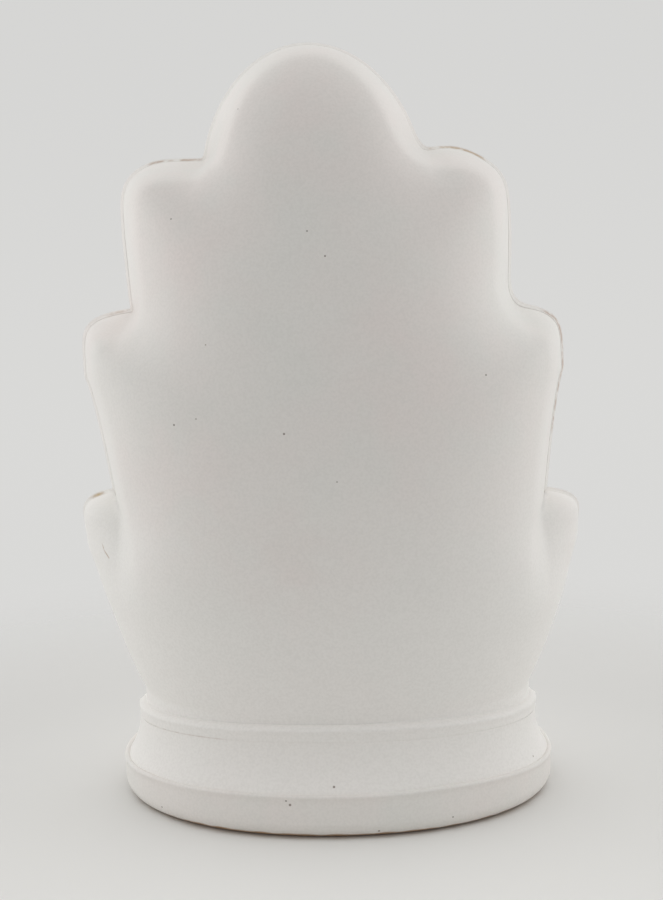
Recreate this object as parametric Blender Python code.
"""Grotto figurine: a scalloped niche on an oval plinth, with a robed figure inside.

Clay pieces luted together and glazed. Sizes are in millimetres and are written in metres.
The front looks along -Y, the plain back along +Y, and the foot stands on z = 0.
"""
import math
from collections import namedtuple

import bmesh
import bpy
from mathutils import Matrix, Vector

MM = 0.001
CLEARANCE = 0.3
WELD = 0.001
SHARP_ANGLE = 35.0

# Plinth: oval drum with a closed top, a coil round its top edge and a band round its foot
PLAN_POWER = 2.1
DRUM_HALF_WIDTH = 54.2
DRUM_HALF_DEPTH = 43.0
DRUM_HEIGHT = 19.2
DRUM_WALL = 4.0
DRUM_TOP_WALL = 4.0
NECK_FLARE = 2.4
BEAD_HEIGHT = 3.4
BEAD_THICKNESS = 1.9
BEAD_OVERHANG = 1.0
BAND_HEIGHT = 9.4
BAND_THICKNESS = 4.7
BAND_TOP_ROUNDING = 1.6
BAND_FOOT_ROUNDING = 4.4
SLAB_THICKNESS = 4.0
SLAB_RECESS = 1.5
VENT_RADIUS = 4.5
PLINTH_STEPS = 48
NECK_STEPS = 4
ROUND_STEPS = 3

# Grotto walls, measured from the drum's top; the plumb foot stands inside the bead
FOOT_MARGIN = 6.0
PLUMB_FOOT = BEAD_HEIGHT + FOOT_MARGIN
BASE_HALF_WIDTH = DRUM_HALF_WIDTH + BEAD_OVERHANG - BEAD_THICKNESS - CLEARANCE
BASE_BACK = DRUM_HALF_DEPTH + BEAD_OVERHANG - BEAD_THICKNESS - CLEARANCE
SHELL_WALL = 4.0
CAVITY = 4.5
LINING_WALL = 3.5
LIP_DEPTH = 3.0
LIP_OUTSET = 0.8
LIP_RISE = 16.0
RIM_WIDTH = 8.0
BACK_SWELL = 7.5
BACK_SWELL_HEIGHT = 85.0
EDGE_POWER = 6.0
EDGE_BLEND = 6.0
LOBE_SETBACK = 22.0
CREASE = 0.8
CREASE_END = 9.0
CREASE_LENGTH = 30.0
HUB_HEIGHT = 48.0
LEAN_START = 30.0
LEAN_SLOPE = 0.034

# Arches from the top one down: crowns on the +X and -X side, spring lines, half widths and rims
TOP_HALF_WIDTH = 29.4
TOP_FOOT_HALF_WIDTH = 34.0
TOP_CROWN = 180.0
TOP_SPRING = 140.5
TOP_RIM = 4.0
SECOND_HALF_WIDTH = 51.6
SECOND_FOOT_HALF_WIDTH = 46.5
SECOND_CROWN_PLUS = 151.1
SECOND_CROWN_MINUS = 152.1
SECOND_SPRING = 130.5
SECOND_RIM = 0.0
THIRD_HALF_WIDTH = 65.5
THIRD_CROWN = 112.2
THIRD_SPRING = 93.5
THIRD_RIM = -6.0
LOWER_HALF_WIDTH = 70.7
LOWER_CROWN_PLUS = 62.2
LOWER_CROWN_MINUS = 60.4
LOWER_SPRING = 46.5
LOWER_RIM = -22.0
FOOT_RIM = 0.0

# Each arch: half width, its two crowns, spring line, crown power, half width at the foot,
# bend of the taper, rim position and rim position at the foot
Tier = namedtuple("Tier", "half_width crown_plus crown_minus spring power base_half bend rim rim_base")
TIERS = (
    Tier(TOP_HALF_WIDTH, TOP_CROWN, TOP_CROWN, TOP_SPRING, 2.0,
         TOP_FOOT_HALF_WIDTH, 1.0, TOP_RIM, TOP_RIM),
    Tier(SECOND_HALF_WIDTH, SECOND_CROWN_PLUS, SECOND_CROWN_MINUS, SECOND_SPRING, 5.0,
         SECOND_FOOT_HALF_WIDTH, 1.0, SECOND_RIM, FOOT_RIM),
    Tier(THIRD_HALF_WIDTH, THIRD_CROWN, THIRD_CROWN, THIRD_SPRING, 6.0,
         BASE_HALF_WIDTH, 0.75, THIRD_RIM, FOOT_RIM),
    Tier(LOWER_HALF_WIDTH, LOWER_CROWN_PLUS, LOWER_CROWN_MINUS, LOWER_SPRING, 8.0,
         BASE_HALF_WIDTH, 1.2, LOWER_RIM, FOOT_RIM),
)

# Grid counts of the grotto, and the limits of its searches
RINGS = 8
CROWN_STEPS = 14
SEGMENT_STEPS = (10, 7, 6)
BASE_STEPS = 14
OUTLINE_STEPS = 60
SEARCH_REACH = 300.0
SEARCH_ANGLE = 88.0
SEARCH_STEPS = 40

# Rock under the figure: lumps are counted round its edge, rough and fine
ROCK_HEIGHT = 13.0
ROCK_HALF_WIDTH = 25.0
ROCK_HALF_DEPTH = 19.0
ROCK_SLOPE = 5.0
ROCK_BUMP = 1.1
ROCK_LUMPS = 3
ROCK_FINE_LUMPS = 5
ROCK_ROWS = 4
ROCK_STEPS = 24
FIGURE_Y = -2.0

# Figure, measured from the top of the rock: robe up to the neck, head and mantle
ROBE_HEIGHT = 90.0
SHOULDER_DROP = 6.0
CHEST_DROP = 14.0
WAIST_DROP = 24.0
HIP_DROP = 32.0
THIGH_HEIGHT = 42.0
KNEE_HEIGHT = 20.0
HEM_HALF_WIDTH = 15.5
HEM_HALF_DEPTH = 12.5
KNEE_HALF_WIDTH = 13.2
KNEE_HALF_DEPTH = 11.0
THIGH_HALF_WIDTH = 11.6
THIGH_HALF_DEPTH = 9.6
HIP_HALF_WIDTH = 11.0
HIP_HALF_DEPTH = 8.8
WAIST_HALF_WIDTH = 9.4
WAIST_HALF_DEPTH = 7.6
CHEST_HALF_WIDTH = 11.0
CHEST_HALF_DEPTH = 8.4
SHOULDER_HALF_WIDTH = 10.6
SHOULDER_HALF_DEPTH = 7.2
COLLAR_RADIUS = 4.4
WAIST_HEIGHT = ROBE_HEIGHT - WAIST_DROP
ROBE_FOLDS = 11
ROBE_FOLD_DEPTH = 0.7
ROBE_STEPS = 44
ROBE_ROWS = 14
NECK_RADIUS = 3.1
NECK_LENGTH = 5.9
HEAD_HALF_WIDTH = 5.8
HEAD_HALF_DEPTH = 6.6
HEAD_HALF_HEIGHT = 8.0
HEAD_CAP = 63.0
HEAD_HEIGHT = ROBE_HEIGHT + NECK_LENGTH + HEAD_HALF_HEIGHT * math.sin(math.radians(HEAD_CAP))
HEAD_ROWS = 9
HEAD_STEPS = 20
NOSE_LENGTH = 1.3
NOSE_DROP = 2.0
NOSE_HALF_HEIGHT = 1.6
MANTLE_WALL = 1.5
MANTLE_HEM = 5.0
MANTLE_FOLDS = 9
MANTLE_FOLD_DEPTH = 0.7
MANTLE_STEPS = 30
MANTLE_ROWS = 12
HOOD_ROWS = 6
HOOD_SLACK = 0.8
HOOD_DROP = 6.4
HOOD_TILT = 112.0
HOOD_EDGE = 100.0

# Sleeves and hands, and how far their cutters run past the mantle's edges and behind it
SLEEVE_RADIUS = 4.2
SLEEVE_DROOP = 5.0
SLEEVE_STEPS = 16
SLEEVE_ROWS = 3
CUFF_RADIUS = 3.6
CUFF_SPACING = 0.6
ELBOW_OUT = 11.0
ELBOW_FORWARD = 6.5
ELBOW_DROP = 4.0
WRIST_FORWARD = 13.0
WRIST_RISE = 5.0
HAND_LENGTH = 16.5
HAND_WIDTH = 4.8
HAND_THICKNESS = 2.6
HAND_ROUNDING = 0.7
HAND_LEAN = 8.0
HAND_SOCKET = 1.5
FINGER_TAPER = 0.4
EDGE_OVERRUN = 0.015
CUT_DEPTH = 3.8

# Robe stations: height, half width, half depth
ROBE_STATIONS = (
    (0.0, HEM_HALF_WIDTH, HEM_HALF_DEPTH),
    (KNEE_HEIGHT, KNEE_HALF_WIDTH, KNEE_HALF_DEPTH),
    (THIGH_HEIGHT, THIGH_HALF_WIDTH, THIGH_HALF_DEPTH),
    (ROBE_HEIGHT - HIP_DROP, HIP_HALF_WIDTH, HIP_HALF_DEPTH),
    (WAIST_HEIGHT, WAIST_HALF_WIDTH, WAIST_HALF_DEPTH),
    (ROBE_HEIGHT - CHEST_DROP, CHEST_HALF_WIDTH, CHEST_HALF_DEPTH),
    (ROBE_HEIGHT - SHOULDER_DROP, SHOULDER_HALF_WIDTH, SHOULDER_HALF_DEPTH),
    (ROBE_HEIGHT, COLLAR_RADIUS, COLLAR_RADIUS),
)
# Mantle stations: height, width and depth outside the robe, half angle of the open front in degrees
MANTLE_SHOULDER = ROBE_HEIGHT - 0.5 * SHOULDER_DROP
MANTLE_STATIONS = (
    (0.0, 3.2, 3.4, 64.0),
    (THIGH_HEIGHT, 4.6, 3.2, 50.0),
    (WAIST_HEIGHT, 6.6, 4.0, 44.0),
    (ROBE_HEIGHT - CHEST_DROP, 5.2, 3.0, 38.0),
    (MANTLE_SHOULDER, 4.0, 3.2, 44.0),
)

GLAZE_WHITE = (0.72, 0.70, 0.67, 1.0)
BARE_CLAY = (0.42, 0.27, 0.20, 1.0)
ROCK_WASH = (0.50, 0.43, 0.34, 1.0)
GLAZE_ROUGHNESS = 0.4
CLAY_ROUGHNESS = 0.8


def smoothstep(value):
    value = min(max(value, 0.0), 1.0)
    return value * value * (3.0 - 2.0 * value)


def crown(tier, x):
    """Height of an arch's crown on the side where x lies."""
    return tier.crown_plus if x >= 0.0 else tier.crown_minus


def soft_max(a, b, radius):
    """The larger of two depths, with a fillet where they cross."""
    blend = max(radius - abs(a - b), 0.0)
    return max(a, b) + blend * blend / (4.0 * radius)


def superellipse(gauge):
    """Depth of a rounded plan: 1 on its middle line and 0 on its outline."""
    return max(1.0 - gauge ** PLAN_POWER, 0.0) ** (1.0 / PLAN_POWER)


class Vault:
    """One skin of the grotto: the arches drawn in by an inset, with the back drawn in as well."""

    def __init__(self, inset, back_inset, rim_shift):
        self.inset = inset
        self.back_inset = back_inset
        self.rim_shift = rim_shift
        self.outline = self.body_outline()

    def half_at(self, tier, z):
        fall = max(tier.spring - max(z, PLUMB_FOOT), 0.0) / (tier.spring - PLUMB_FOOT)
        taper = (tier.half_width - tier.base_half) * fall ** tier.bend
        return tier.half_width - taper - self.inset_at(z)

    def inset_at(self, z):
        """A lip set outwards dies away towards the foot, where the bead runs."""
        if self.inset >= 0.0:
            return self.inset
        return self.inset * smoothstep((z - PLUMB_FOOT) / LIP_RISE)

    def gauge(self, tier, x, z):
        """0 on the middle line of an arch and 1 on its outline."""
        across = abs(x) / self.half_at(tier, z)
        if z <= tier.spring:
            return across
        rise = crown(tier, x) - self.inset - tier.spring
        up = (z - tier.spring) / rise
        return (across ** tier.power + up ** tier.power) ** (1.0 / tier.power)

    def rim(self, tier, z):
        share = smoothstep((z - PLUMB_FOOT) / (tier.spring - PLUMB_FOOT))
        return tier.rim_base + (tier.rim - tier.rim_base) * share

    def back(self, z):
        off = (max(z, PLUMB_FOOT) - BACK_SWELL_HEIGHT) / (BACK_SWELL_HEIGHT - PLUMB_FOOT)
        return BASE_BACK + BACK_SWELL * (1.0 - off * off) - self.back_inset

    def body_outline(self):
        """Short pieces of the outline of the three upper arches: place, length and rim position."""
        top, second, third, _ = TIERS
        foot = math.atan2(-HUB_HEIGHT, self.half_at(third, 0.0))
        stops = []
        for side in (1, -1):
            low = foot if side > 0 else math.pi - foot
            stops.append((low, self.valley(third, second, side), third))
            stops.append((self.valley(third, second, side), self.valley(second, top, side), second))
        stops.append((self.valley(second, top, 1), self.valley(second, top, -1), top))
        pieces = []
        for start, end, tier in stops:
            points = []
            for step in range(OUTLINE_STEPS + 1):
                angle = start + (end - start) * step / OUTLINE_STEPS
                reach = self.reach(tier, angle)
                points.append(Vector((reach * math.cos(angle), HUB_HEIGHT + reach * math.sin(angle))))
            for here, there in zip(points, points[1:]):
                middle = 0.5 * (here + there)
                pieces.append((middle.x, middle.y, (there - here).length, self.rim(tier, middle.y)))
        return pieces

    def body_edge(self, x, z):
        """Smooth distance to the body's outline, and the rim position there, as means over its pieces."""
        weight = 0.0
        rim = 0.0
        nearest = math.inf
        for px, pz, length, piece_rim in self.outline:
            square = (x - px) ** 2 + (z - pz) ** 2
            share = length / square ** (0.5 * EDGE_POWER + 0.5)
            weight += share
            rim += share * piece_rim
            nearest = min(nearest, square)
        scale = math.sqrt(math.pi) * math.gamma(0.5 * EDGE_POWER) / math.gamma(0.5 * EDGE_POWER + 0.5)
        smooth = (scale / weight) ** (1.0 / EDGE_POWER)
        near = math.sqrt(nearest)
        share = smoothstep(near / EDGE_BLEND)
        return near + (smooth - near) * share, rim / weight

    def body_depth(self, x, z):
        """Back of the three upper arches as one rounded body, creased only at the valleys."""
        top, _, third, _ = TIERS
        edge, rim = self.body_edge(x, z)
        spine = math.hypot(x, max(z - top.spring, 0.0))
        gauge = spine / (spine + edge)
        foot = 1.0 - smoothstep((z - PLUMB_FOOT) / LIP_RISE)
        gauge += (min(abs(x) / self.half_at(third, z), 1.0) - gauge) * foot
        rim += (self.rim(third, z) - rim) * foot
        return max(rim + (self.back(z) - rim) * superellipse(gauge), rim + self.rim_shift)

    def depth(self, x, z):
        """How far back the skin lies: the body, with the two lower lobes merged into its sides."""
        top, second, third, lower = TIERS
        inside = [min(self.gauge(tier, x, z) for tier in (top, second, third)), self.gauge(lower, x, z)]
        depths = []
        if inside[0] < 1.0:
            depths.append(self.body_depth(x, z))
        if inside[1] < 1.0:
            rim = self.rim(lower, z)
            back = self.back(z) - LOBE_SETBACK
            depths.append(max(rim + (back - rim) * superellipse(inside[1]), rim + self.rim_shift))
        if len(depths) < 2:
            return depths[0]
        fade = smoothstep((crown(lower, x) - z) / CREASE_LENGTH) * smoothstep((z - PLUMB_FOOT) / LIP_RISE)
        return soft_max(depths[0], depths[1], CREASE + (CREASE_END - CREASE) * fade)

    def reach(self, tier, angle):
        """Distance from the hub to an arch's outline, or to the foot plane, along one direction."""
        near = 0.0
        far = SEARCH_REACH
        for _ in range(SEARCH_STEPS):
            middle = 0.5 * (near + far)
            x = middle * math.cos(angle)
            z = HUB_HEIGHT + middle * math.sin(angle)
            if z >= 0.0 and self.gauge(tier, x, z) < 1.0:
                near = middle
            else:
                far = middle
        return near

    def valley(self, lower, upper, side):
        """Direction in which two neighbouring arches have the same outline."""
        low = 0.0
        high = math.radians(SEARCH_ANGLE)
        for _ in range(SEARCH_STEPS):
            middle = 0.5 * (low + high)
            angle = middle if side > 0 else math.pi - middle
            if self.reach(lower, angle) > self.reach(upper, angle):
                low = middle
            else:
                high = middle
        return low if side > 0 else math.pi - low

    def foot_edge(self, side, z):
        """Direction of the lowest arch's outline at a height near the foot."""
        down = math.atan2(z - HUB_HEIGHT, self.half_at(TIERS[-1], z))
        return down if side > 0 else math.pi - down


def column_directions(vault):
    """Directions and arches of the columns, round the rim and then along the foot."""
    top, second, third, lower = TIERS
    stops = [
        (vault.foot_edge(1, 0.0), vault.foot_edge(1, PLUMB_FOOT), lower, 1),
        (vault.foot_edge(1, PLUMB_FOOT), vault.valley(lower, third, 1), lower, SEGMENT_STEPS[0]),
        (vault.valley(lower, third, 1), vault.valley(third, second, 1), third, SEGMENT_STEPS[1]),
        (vault.valley(third, second, 1), vault.valley(second, top, 1), second, SEGMENT_STEPS[2]),
        (vault.valley(second, top, 1), vault.valley(second, top, -1), top, CROWN_STEPS),
        (vault.valley(second, top, -1), vault.valley(third, second, -1), second, SEGMENT_STEPS[2]),
        (vault.valley(third, second, -1), vault.valley(lower, third, -1), third, SEGMENT_STEPS[1]),
        (vault.valley(lower, third, -1), vault.foot_edge(-1, PLUMB_FOOT), lower, SEGMENT_STEPS[0]),
        (vault.foot_edge(-1, PLUMB_FOOT), vault.foot_edge(-1, 0.0), lower, 1),
    ]
    rim = []
    for start, end, tier, steps in stops:
        for step in range(steps + 1):
            rim.append((start + (end - start) * step / steps, tier))
    foot = []
    half_width = vault.half_at(TIERS[-1], 0.0)
    for step in range(1, BASE_STEPS):
        x = -half_width * math.cos(math.pi * step / BASE_STEPS)
        foot.append((math.atan2(-HUB_HEIGHT, x), None))
    return rim, foot


def lean(point):
    """The grotto leans a little to +X above its lower lobes."""
    x, y, z = point
    return Vector((x + LEAN_SLOPE * max(z - LEAN_START, 0.0), y, z))


def rim_point(vault, angle, tier):
    """Point of the rim edge in one direction."""
    reach = vault.reach(tier, angle)
    x = reach * math.cos(angle)
    z = HUB_HEIGHT + reach * math.sin(angle)
    return lean((x, vault.rim(tier, z) + vault.rim_shift, z))


def skin_column(vault, angle, tier):
    """Points from the hub to the edge of a skin in one direction."""
    if tier is None:
        reach = -HUB_HEIGHT / math.sin(angle)
    else:
        reach = vault.reach(tier, angle)
    points = []
    for ring in range(RINGS):
        share = math.sin(0.5 * math.pi * ring / RINGS)
        x = share * reach * math.cos(angle)
        z = HUB_HEIGHT + share * reach * math.sin(angle)
        points.append(lean((x, vault.depth(x, z), z)))
    if tier is None:
        x = reach * math.cos(angle)
        points.append(lean((x, vault.depth(x, 0.0), 0.0)))
    else:
        points.append(rim_point(vault, angle, tier))
    return points


def grotto_solid(outer, inner, lip_vaults):
    """Closed wall between two skins, joined at the rim through the lip's edges and flat at the foot."""
    rims = []
    feet = []
    for vault in [outer] + lip_vaults + [inner]:
        rim, foot = column_directions(vault)
        rims.append(rim)
        feet.append(foot)
    columns = len(rims[0])
    outside = [skin_column(outer, angle, tier) for angle, tier in rims[0] + feet[0]]
    inside = [skin_column(inner, angle, tier) for angle, tier in rims[-1] + feet[-1]]
    lips = []
    for vault, rim in zip(lip_vaults, rims[1:-1]):
        lips.append([rim_point(vault, angle, tier) for angle, tier in rim])

    bm = bmesh.new()
    outside = [[bm.verts.new(p * MM) for p in column] for column in outside]
    inside = [[bm.verts.new(p * MM) for p in column] for column in inside]
    lips = [[bm.verts.new(p * MM) for p in edge] for edge in lips]
    total = len(outside)
    for index in range(total):
        following = (index + 1) % total
        for skin in (outside, inside):
            near = skin[index]
            far = skin[following]
            for ring in range(len(near) - 1):
                bm.faces.new((near[ring], near[ring + 1], far[ring + 1], far[ring]))
        on_rim = index < columns - 1
        edges = [outside[index][-1], inside[index][-1]]
        following_edges = [outside[following][-1], inside[following][-1]]
        if on_rim:
            edges[1:1] = [edge[index] for edge in lips]
            following_edges[1:1] = [edge[following] for edge in lips]
        for row in range(len(edges) - 1):
            bm.faces.new((edges[row], edges[row + 1], following_edges[row + 1], following_edges[row]))
    if lips:
        for index in (0, columns - 1):
            ring = [outside[index][-1]] + [edge[index] for edge in lips] + [inside[index][-1]]
            bm.faces.new(ring)
    bmesh.ops.remove_doubles(bm, verts=bm.verts, dist=WELD * MM)
    bmesh.ops.recalc_face_normals(bm, faces=bm.faces)
    return bm


def material(name, colour, roughness):
    """A plain glazed or bare clay surface."""
    made = bpy.data.materials.new(name)
    made.use_nodes = True
    shader = made.node_tree.nodes["Principled BSDF"]
    shader.inputs["Base Color"].default_value = colour
    shader.inputs["Roughness"].default_value = roughness
    shader.inputs["Metallic"].default_value = 0.0
    return made


def add_object(name, bm, colour, roughness, parent=None):
    """Turn a bmesh into a named object with its own material."""
    mesh = bpy.data.meshes.new(name)
    bm.to_mesh(mesh)
    bm.free()
    mesh.shade_smooth()
    mesh.set_sharp_from_angle(angle=math.radians(SHARP_ANGLE))
    made = bpy.data.objects.new(name, mesh)
    bpy.context.collection.objects.link(made)
    mesh.materials.append(material(name, colour, roughness))
    made.parent = parent
    return made


def add_frame(name, location, parent=None):
    """An empty that carries pieces."""
    made = bpy.data.objects.new(name, None)
    bpy.context.collection.objects.link(made)
    made.location = Vector(location) * MM
    made.parent = parent
    return made


def signed_power(value, power):
    return math.copysign(abs(value) ** power, value)


def oval_ring(offset, z):
    """Points of the plinth's plan, grown by an offset, at one height."""
    points = []
    for step in range(PLINTH_STEPS):
        angle = 2.0 * math.pi * step / PLINTH_STEPS
        x = (DRUM_HALF_WIDTH + offset) * signed_power(math.cos(angle), 2.0 / PLAN_POWER)
        y = (DRUM_HALF_DEPTH + offset) * signed_power(math.sin(angle), 2.0 / PLAN_POWER)
        points.append(Vector((x, y, z)))
    return points


def loft(rings, closed=False):
    """Skin rings of points: closed joins the last ring to the first, otherwise the ends are capped."""
    bm = bmesh.new()
    loops = [[bm.verts.new(p * MM) for p in ring] for ring in rings]
    count = len(loops[0])
    pairs = list(zip(loops, loops[1:]))
    if closed:
        pairs.append((loops[-1], loops[0]))
    for lower, upper in pairs:
        for index in range(count):
            following = (index + 1) % count
            bm.faces.new((lower[index], lower[following], upper[following], upper[index]))
    if not closed:
        bm.faces.new(loops[0])
        bm.faces.new(loops[-1])
    bmesh.ops.recalc_face_normals(bm, faces=bm.faces)
    return bm


def arc(centre, radius_out, radius_up, start, end):
    """Points of a profile on an elliptic arc: angles in degrees, 0 outwards and 90 upwards."""
    steps = round((end - start) / 90.0) * ROUND_STEPS
    points = []
    for step in range(steps + 1):
        angle = math.radians(start + (end - start) * step / steps)
        points.append((centre[0] + radius_out * math.cos(angle), centre[1] + radius_up * math.sin(angle)))
    return points


def turn_oval(profile, closed):
    """Carry a profile of offsets and heights round the plinth's plan."""
    return loft([oval_ring(offset, z) for offset, z in profile], closed)


def build_drum():
    """Upside-down tub: wall, rebate for the band, neck that flares out over it, closed top."""
    shelf = BAND_HEIGHT + CLEARANCE
    profile = [(-DRUM_WALL, DRUM_HEIGHT - DRUM_TOP_WALL), (-DRUM_WALL, 0.0), (0.0, 0.0), (0.0, shelf)]
    for step in range(NECK_STEPS + 1):
        share = step / NECK_STEPS
        profile.append((NECK_FLARE * (1.0 - share) ** 2, shelf + (DRUM_HEIGHT - shelf) * share))
    add_object("plinth_drum", turn_oval(profile, False), GLAZE_WHITE, GLAZE_ROUGHNESS)


def build_bead():
    """Half-round coil on the drum's top edge, round the foot of the grotto."""
    centre = (BEAD_OVERHANG - BEAD_THICKNESS, DRUM_HEIGHT + CLEARANCE + 0.5 * BEAD_HEIGHT)
    profile = arc(centre, BEAD_THICKNESS, 0.5 * BEAD_HEIGHT, -90.0, 90.0)
    add_object("collar_bead", turn_oval(profile, True), GLAZE_WHITE, GLAZE_ROUGHNESS)


def build_band():
    """Band round the drum's foot, rounded more below than above."""
    outer = CLEARANCE + BAND_THICKNESS
    foot = BAND_FOOT_ROUNDING
    top = BAND_TOP_ROUNDING
    profile = [(CLEARANCE, BAND_HEIGHT), (CLEARANCE, 0.0)]
    profile += arc((outer - foot, foot), foot, foot, -90.0, 0.0)
    profile += arc((outer - top, BAND_HEIGHT - top), top, top, 0.0, 90.0)
    add_object("foot_band", turn_oval(profile, True), GLAZE_WHITE, GLAZE_ROUGHNESS)


def build_slab():
    """Slab that closes the drum from below, with a vent hole."""
    edge = -DRUM_WALL - CLEARANCE
    levels = (SLAB_RECESS, SLAB_RECESS + SLAB_THICKNESS)
    rings = [oval_ring(edge, z) for z in levels]
    for z in reversed(levels):
        vent = []
        for step in range(PLINTH_STEPS):
            angle = 2.0 * math.pi * step / PLINTH_STEPS
            vent.append(Vector((VENT_RADIUS * math.cos(angle), VENT_RADIUS * math.sin(angle), z)))
        rings.append(vent)
    add_object("base_slab", loft(rings, True), BARE_CLAY, CLAY_ROUGHNESS)


def build_grotto(frame):
    """Back shell and niche lining, with a lip that laps the shell's edge."""
    shell_outside = Vault(0.0, 0.0, LIP_DEPTH + CLEARANCE)
    shell_inside = Vault(SHELL_WALL, SHELL_WALL, LIP_DEPTH + CLEARANCE)
    solid = grotto_solid(shell_outside, shell_inside, [])
    add_object("back_shell", solid, GLAZE_WHITE, GLAZE_ROUGHNESS, frame)

    lining_back = SHELL_WALL + CAVITY
    lining_outside = Vault(SHELL_WALL + CLEARANCE, lining_back, LIP_DEPTH)
    lip_back = Vault(0.0, 0.0, LIP_DEPTH)
    lip_front = Vault(-LIP_OUTSET, 0.0, 0.0)
    niche = Vault(RIM_WIDTH, lining_back + LINING_WALL, 0.0)
    solid = grotto_solid(lining_outside, niche, [lip_back, lip_front])
    add_object("niche_lining", solid, GLAZE_WHITE, GLAZE_ROUGHNESS, frame)


def station(stations, z):
    """Values of a list of stations at one height, eased between neighbours."""
    if z <= stations[0][0]:
        return stations[0][1:]
    for lower, upper in zip(stations, stations[1:]):
        if z <= upper[0]:
            share = smoothstep((z - lower[0]) / (upper[0] - lower[0]))
            return [a + (b - a) * share for a, b in zip(lower[1:], upper[1:])]
    return stations[-1][1:]


def build_rock(frame):
    """Rough rock under the figure, flat on top and below, with lumps that fade towards both."""
    rings = []
    for row in range(ROCK_ROWS + 1):
        share = row / ROCK_ROWS
        ring = []
        for step in range(ROCK_STEPS):
            angle = 2.0 * math.pi * step / ROCK_STEPS
            rough = math.sin(ROCK_LUMPS * angle) + math.sin(ROCK_FINE_LUMPS * angle + math.pi * share)
            draw = ROCK_SLOPE * share * share - ROCK_BUMP * rough * math.sin(math.pi * share)
            x = (ROCK_HALF_WIDTH - draw) * math.cos(angle)
            y = (ROCK_HALF_DEPTH - draw) * math.sin(angle)
            ring.append(Vector((x, y, ROCK_HEIGHT * share)))
        rings.append(ring)
    add_object("rock_mound", loft(rings), ROCK_WASH, GLAZE_ROUGHNESS, frame)


def robe_rings(growth):
    """Rings of the robe from hem to neck, grown outwards by a clearance."""
    rings = []
    for row in range(ROBE_ROWS + 1):
        z = ROBE_HEIGHT * row / ROBE_ROWS
        half_width, half_depth = station(ROBE_STATIONS, z)
        fade = 1.0 - smoothstep(z / WAIST_HEIGHT)
        ring = []
        for step in range(ROBE_STEPS):
            angle = 2.0 * math.pi * step / ROBE_STEPS
            fold = ROBE_FOLD_DEPTH * fade * math.sin(ROBE_FOLDS * angle)
            x = (half_width + growth + fold) * math.sin(angle)
            y = -(half_depth + growth + fold) * math.cos(angle)
            ring.append(Vector((x, y, z)))
        rings.append(ring)
    return rings


def hood_size(head_size):
    """Outer size of the hood over one half size of the head."""
    return head_size + CLEARANCE + MANTLE_WALL + HOOD_SLACK


def mantle_point(z, share):
    """Outer face of the mantle below the ears: height and share of the way from edge to edge."""
    robe_width, robe_depth = station(ROBE_STATIONS, z)
    more_width, more_depth, opening = station(MANTLE_STATIONS, z)
    gap = MANTLE_WALL + CLEARANCE + ROBE_FOLD_DEPTH
    half_width = robe_width + more_width + gap
    half_depth = robe_depth + more_depth + gap
    if z > MANTLE_SHOULDER:
        rise = smoothstep((z - MANTLE_SHOULDER) / (HEAD_HEIGHT - HOOD_DROP - MANTLE_SHOULDER))
        wide = station(ROBE_STATIONS, MANTLE_SHOULDER)
        half_width = (wide[0] + more_width + gap) * (1.0 - rise) + hood_size(HEAD_HALF_WIDTH) * rise
        half_depth = (wide[1] + more_depth + gap) * (1.0 - rise) + hood_size(HEAD_HALF_DEPTH) * rise
        opening = opening * (1.0 - rise) + HOOD_EDGE * rise
    angle = math.radians(opening + (360.0 - 2.0 * opening) * share)
    fade = 1.0 - smoothstep((z - MANTLE_HEM) / (MANTLE_SHOULDER - MANTLE_HEM))
    fold = MANTLE_FOLD_DEPTH * fade * math.cos(2.0 * math.pi * MANTLE_FOLDS * share)
    return Vector(((half_width + fold) * math.sin(angle), -(half_depth + fold) * math.cos(angle), z))


def hood_point(tilt, share):
    """Outer face of the hood: arcs from ear to ear, tilted from the nape over the crown to the brow."""
    edge = math.pi - math.radians(HOOD_EDGE)
    around = edge - 2.0 * edge * share
    back = math.cos(tilt) / hood_size(HEAD_HALF_DEPTH)
    up = math.sin(tilt) / hood_size(HEAD_HALF_HEIGHT)
    along = math.cos(around) / math.hypot(back, up)
    x = hood_size(HEAD_HALF_WIDTH) * math.sin(around)
    return Vector((x, along * math.cos(tilt), HEAD_HEIGHT + along * math.sin(tilt)))


def mantle_grid(overrun):
    """Rows of outer points, from the hem up to the ears and over the head, run past both edges."""
    grid = []
    shares = [(1.0 + 2.0 * overrun) * step / MANTLE_STEPS - overrun for step in range(MANTLE_STEPS + 1)]
    for row in range(MANTLE_ROWS + 1):
        z = MANTLE_HEM + (HEAD_HEIGHT - MANTLE_HEM) * row / MANTLE_ROWS
        grid.append([mantle_point(z, share) for share in shares])
    for row in range(1, HOOD_ROWS + 1):
        tilt = math.radians(HOOD_TILT) * row / HOOD_ROWS
        grid.append([hood_point(tilt, share) for share in shares])
    return grid


def grid_normal(grid, row, column):
    """Outward normal of a grid of points at one of them."""
    up = grid[min(row + 1, len(grid) - 1)][column] - grid[max(row - 1, 0)][column]
    last = len(grid[0]) - 1
    along = grid[row][min(column + 1, last)] - grid[row][max(column - 1, 0)]
    return along.cross(up).normalized()


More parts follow.
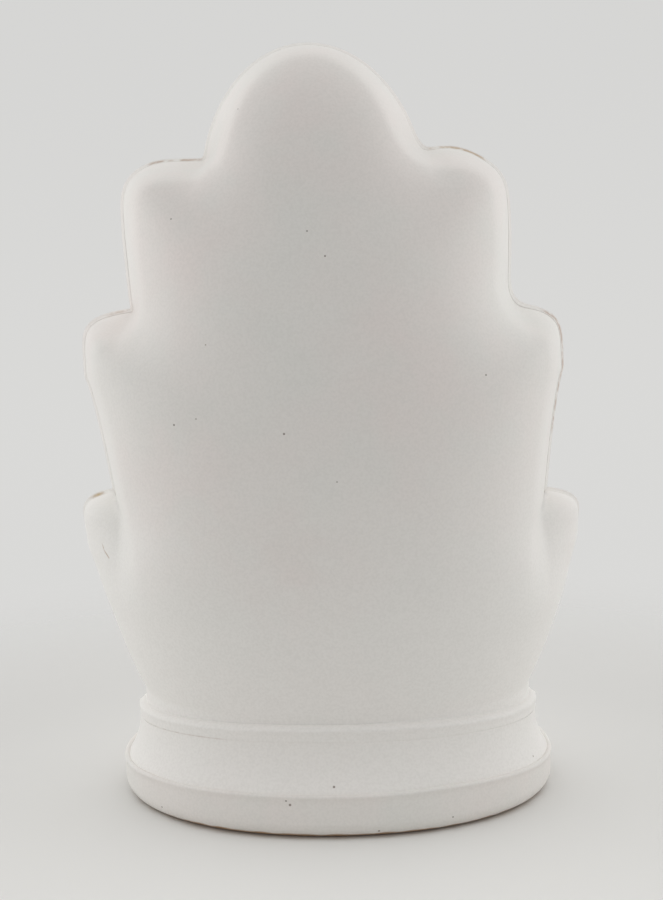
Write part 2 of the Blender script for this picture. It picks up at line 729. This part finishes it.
def sheet(grid, out, into):
    """Closed sheet around a grid of points: out and into are the distances to its two faces."""
    bm = bmesh.new()
    faces = []
    for distance in (out, -into):
        face = []
        for row, points in enumerate(grid):
            face.append([
                bm.verts.new((p + grid_normal(grid, row, column) * distance) * MM)
                for column, p in enumerate(points)
            ])
        faces.append(face)
    rows = len(grid)
    columns = len(grid[0])
    for face in faces:
        for row in range(rows - 1):
            for column in range(columns - 1):
                bm.faces.new((
                    face[row][column], face[row][column + 1],
                    face[row + 1][column + 1], face[row + 1][column],
                ))
    border = [(0, c) for c in range(columns)]
    border += [(r, columns - 1) for r in range(1, rows)]
    border += [(rows - 1, c) for c in range(columns - 2, -1, -1)]
    border += [(r, 0) for r in range(rows - 2, 0, -1)]
    for here, there in zip(border, border[1:] + border[:1]):
        bm.faces.new((
            faces[0][here[0]][here[1]], faces[0][there[0]][there[1]],
            faces[1][there[0]][there[1]], faces[1][here[0]][here[1]],
        ))
    bmesh.ops.recalc_face_normals(bm, faces=bm.faces)
    return bm


def head_rings():
    """Rings of the neck and of the head, an egg with a nose."""
    rows = [(ROBE_HEIGHT + CLEARANCE, 0.0)]
    for row in range(HEAD_ROWS + 1):
        angle = math.radians(2.0 * HEAD_CAP * row / HEAD_ROWS - HEAD_CAP)
        rows.append((HEAD_HEIGHT + HEAD_HALF_HEIGHT * math.sin(angle), math.cos(angle)))
    rings = []
    for z, fullness in rows:
        least = NECK_RADIUS if z < HEAD_HEIGHT else 0.0
        half_width = max(HEAD_HALF_WIDTH * fullness, least)
        half_depth = max(HEAD_HALF_DEPTH * fullness, least)
        nose = abs(z - HEAD_HEIGHT + NOSE_DROP) < NOSE_HALF_HEIGHT
        ring = []
        for step in range(HEAD_STEPS):
            angle = 2.0 * math.pi * step / HEAD_STEPS
            x = half_width * math.sin(angle)
            y = -half_depth * math.cos(angle)
            if nose and step == 0:
                y -= NOSE_LENGTH
            ring.append(Vector((x, y, z)))
        rings.append(ring)
    return rings


def sleeve_rings(side):
    """Rings of a wide sleeve from elbow to cuff, hanging lower towards the cuff."""
    elbow = Vector((side * ELBOW_OUT, -ELBOW_FORWARD, WAIST_HEIGHT - ELBOW_DROP))
    wrist = Vector((side * (CUFF_RADIUS + CUFF_SPACING), -WRIST_FORWARD, WAIST_HEIGHT + WRIST_RISE))
    axis = (wrist - elbow).normalized()
    down = Vector((0.0, 0.0, -1.0))
    down = (down - axis * down.dot(axis)).normalized()
    across = axis.cross(down)
    rings = []
    for row in range(SLEEVE_ROWS + 1):
        share = row / SLEEVE_ROWS
        centre = elbow.lerp(wrist, share)
        radius = SLEEVE_RADIUS + (CUFF_RADIUS - SLEEVE_RADIUS) * share
        ring = []
        for step in range(SLEEVE_STEPS):
            angle = 2.0 * math.pi * step / SLEEVE_STEPS
            hang = radius * math.sin(angle)
            if hang > 0.0:
                hang *= 1.0 + SLEEVE_DROOP / CUFF_RADIUS * share * share
            point = centre + across * radius * math.cos(angle) + down * hang
            point.x = side * max(side * point.x, CLEARANCE)
            ring.append(point)
        rings.append(ring)
    return rings


def build_sleeve(name, side, frame, cutters):
    """Sleeve cut where it lies on the robe and mantle and where the hand goes in."""
    made = add_object(name, loft(sleeve_rings(side)), GLAZE_WHITE, GLAZE_ROUGHNESS, frame)
    for cutter in cutters:
        cut = made.modifiers.new("fit", "BOOLEAN")
        cut.operation = "DIFFERENCE"
        cut.solver = "EXACT"
        cut.object = cutter
    return made


def hand_solid(side, growth):
    """Flat tapering hand, palm on the middle plane, fingers up, grown by a clearance."""
    bm = bmesh.new()
    bmesh.ops.create_cube(bm, size=1.0)
    for vert in bm.verts:
        tip = vert.co.z + 0.5
        out = (vert.co.x + 0.5) * HAND_THICKNESS * (1.0 - FINGER_TAPER * tip)
        vert.co.x = 0.5 * CLEARANCE + out + 2.0 * vert.co.x * growth
        vert.co.y *= HAND_WIDTH * (1.0 - FINGER_TAPER * tip) + 2.0 * growth
        vert.co.z = HAND_LENGTH * tip + (2.0 * tip - 1.0) * growth
    rounding = HAND_ROUNDING + growth
    bmesh.ops.bevel(bm, geom=bm.edges, offset=rounding, segments=2, affect="EDGES", profile=0.5)
    tilt = Matrix.Rotation(math.radians(HAND_LEAN), 4, "X")
    bmesh.ops.rotate(bm, verts=bm.verts, cent=(0.0, 0.0, 0.0), matrix=tilt)
    start = Vector((0.0, -WRIST_FORWARD, WAIST_HEIGHT + WRIST_RISE - HAND_SOCKET))
    bmesh.ops.translate(bm, verts=bm.verts, vec=start)
    bmesh.ops.scale(bm, verts=bm.verts, vec=(side * MM, MM, MM))
    bmesh.ops.recalc_face_normals(bm, faces=bm.faces)
    return bm


def add_cutter(name, bm, frame):
    """A helper solid that only cuts and is never shown."""
    made = add_object(name, bm, GLAZE_WHITE, GLAZE_ROUGHNESS, frame)
    made.hide_render = True
    made.display_type = "WIRE"
    return made


def build_figure(frame):
    """Robe, mantle, head, sleeves and hands."""
    add_object("robe", loft(robe_rings(0.0)), GLAZE_WHITE, GLAZE_ROUGHNESS, frame)
    mantle = sheet(mantle_grid(0.0), 0.0, MANTLE_WALL)
    add_object("mantle", mantle, GLAZE_WHITE, GLAZE_ROUGHNESS, frame)
    add_object("head", loft(head_rings()), GLAZE_WHITE, GLAZE_ROUGHNESS, frame)
    robe_cutter = add_cutter("robe_cutter", loft(robe_rings(CLEARANCE)), frame)
    mantle = sheet(mantle_grid(EDGE_OVERRUN), CLEARANCE, CUT_DEPTH)
    mantle_cutter = add_cutter("mantle_cutter", mantle, frame)
    for label, side in (("px", 1), ("mx", -1)):
        add_object("hand_" + label, hand_solid(side, 0.0), GLAZE_WHITE, GLAZE_ROUGHNESS, frame)
        hand_cutter = add_cutter("hand_cutter_" + label, hand_solid(side, CLEARANCE), frame)
        build_sleeve("sleeve_" + label, side, frame, (robe_cutter, mantle_cutter, hand_cutter))


def main():
    for made in list(bpy.data.objects):
        bpy.data.objects.remove(made, do_unlink=True)
    build_drum()
    build_bead()
    build_band()
    build_slab()
    grotto_frame = add_frame("grotto_frame", (0.0, 0.0, DRUM_HEIGHT + CLEARANCE))
    build_grotto(grotto_frame)
    rock_frame = add_frame("rock_frame", (0.0, FIGURE_Y, 0.0), grotto_frame)
    build_rock(rock_frame)
    figure_frame = add_frame("figure_frame", (0.0, 0.0, ROCK_HEIGHT + CLEARANCE), rock_frame)
    build_figure(figure_frame)
    bpy.context.view_layer.update()


main()
